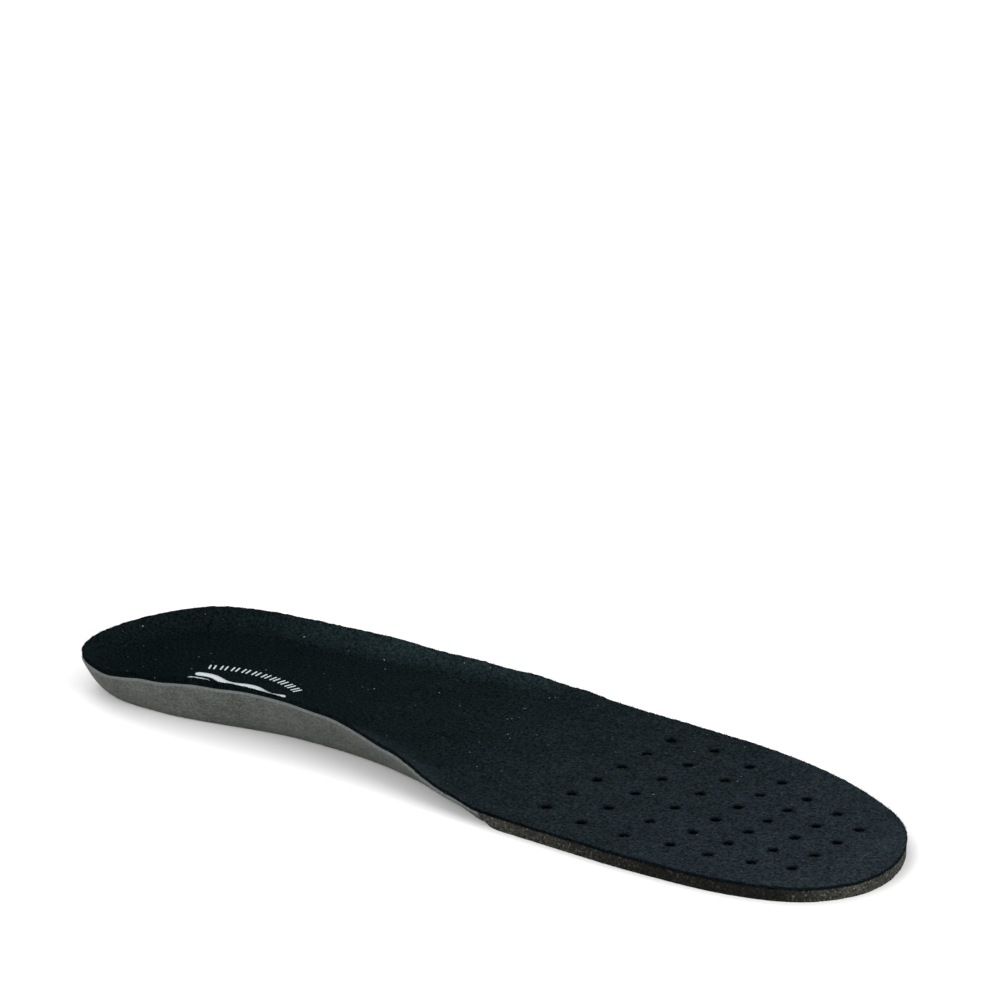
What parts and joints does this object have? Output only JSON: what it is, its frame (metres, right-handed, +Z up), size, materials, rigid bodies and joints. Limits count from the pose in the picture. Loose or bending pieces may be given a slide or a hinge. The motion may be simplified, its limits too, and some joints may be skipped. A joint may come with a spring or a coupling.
{
  "type": "cushioned insole",
  "caption": "Left cushioned shoe insole with a perforated fabric cover, a moulded heel and arch cup, a flexible forefoot and a heel air cushion.",
  "frame": {"origin": "on the ground under the middle of the insole's bounding box", "axes": "+X from the heel to the toe, +Y towards the outer side of the foot, +Z up"},
  "size_m": [0.2738, 0.0902, 0.0165],
  "materials": {
    "cover_fabric": "matte brushed microfibre, near black with a faint teal cast",
    "moulded_foam": "satin moulded skin on closed-cell foam, mid grey",
    "cut_foam": "matte die-cut foam with open cells, dark grey",
    "cushion_film": "smooth smoky translucent film",
    "print_ink": "flat light grey heat-transfer ink"
  },
  "bodies": {
    "heel_and_arch": {"footbed_shell": "moulded_foam", "air_cushion_base_film": "cushion_film", "air_cushion_top_film": "cushion_film", "top_cover": "cover_fabric", "heel_print_arc": "print_ink", "heel_print_wave_1": "print_ink", "heel_print_wave_2": "print_ink"},
    "forefoot": {"forefoot_pad": "cut_foam"}
  },
  "joints": [
    {"name": "forefoot_flex", "type": "hinge", "parent": "heel_and_arch", "child": "forefoot", "pos_m": [0.02278, 0, 0.0032], "axis": [0, -1, 0], "range_deg": [0, 50], "stiffness_Nm_per_rad": 0.05, "deforming": ["top_cover"]}
  ]
}
